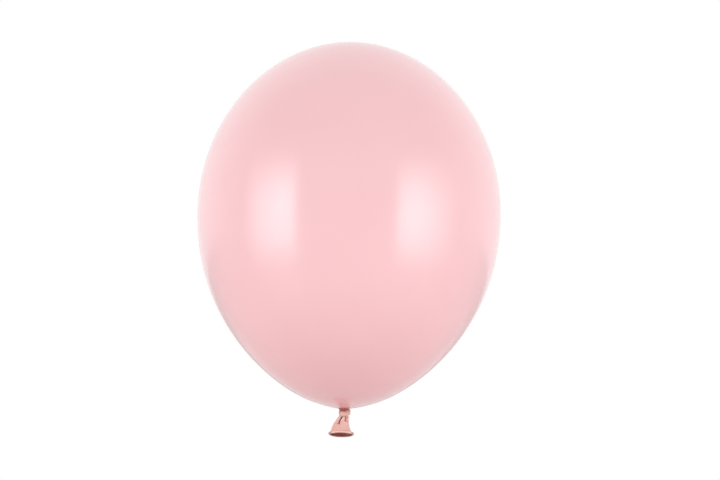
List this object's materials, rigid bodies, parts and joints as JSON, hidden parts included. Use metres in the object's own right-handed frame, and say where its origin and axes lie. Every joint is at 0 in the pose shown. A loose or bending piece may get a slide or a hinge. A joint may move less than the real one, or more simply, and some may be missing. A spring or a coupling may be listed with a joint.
{
  "type": "latex balloon",
  "caption": "Round latex party balloon, inflated, closed by an overhand knot in its neck, with a short flared tail ending in a rolled lip.",
  "frame": {"origin": "on the balloon's axis in the string groove, the throat between the inflated envelope and the knot", "axes": "+Z along the axis up to the crown, -Z down through the knot to the tail; +X along the flattened tail's width; -Y is the side the tail's mouth tips towards"},
  "size_m": [0.3, 0.3, 0.3912],
  "materials": {
    "latex_film": "satin",
    "latex_neck": "satin",
    "latex_bead": "satin"
  },
  "bodies": {
    "bulb": {"envelope": "latex_film"},
    "knot": {"knot_core": "latex_neck", "knot_turn": "latex_neck"},
    "neck": {"tail_neck": "latex_neck"},
    "tail": {"tail_skirt": "latex_neck", "rolled_lip": "latex_bead"}
  },
  "joints": [
    {"name": "knot_twist", "type": "hinge", "parent": "bulb", "child": "knot", "pos_m": [0, 0, 0], "axis": [0, 0, 1], "range_deg": [-60, 60], "stiffness_Nm_per_rad": 0.0003},
    {"name": "tail_sway", "type": "hinge", "parent": "knot", "child": "neck", "pos_m": [0, 0, -0.0109], "axis": [0, 1, 0], "range_deg": [-20, 20], "stiffness_Nm_per_rad": 0.0005},
    {"name": "tail_nod", "type": "hinge", "parent": "neck", "child": "tail", "pos_m": [0, 0, -0.0109], "axis": [1, 0, 0], "range_deg": [-30, 70], "stiffness_Nm_per_rad": 0.0003}
  ]
}
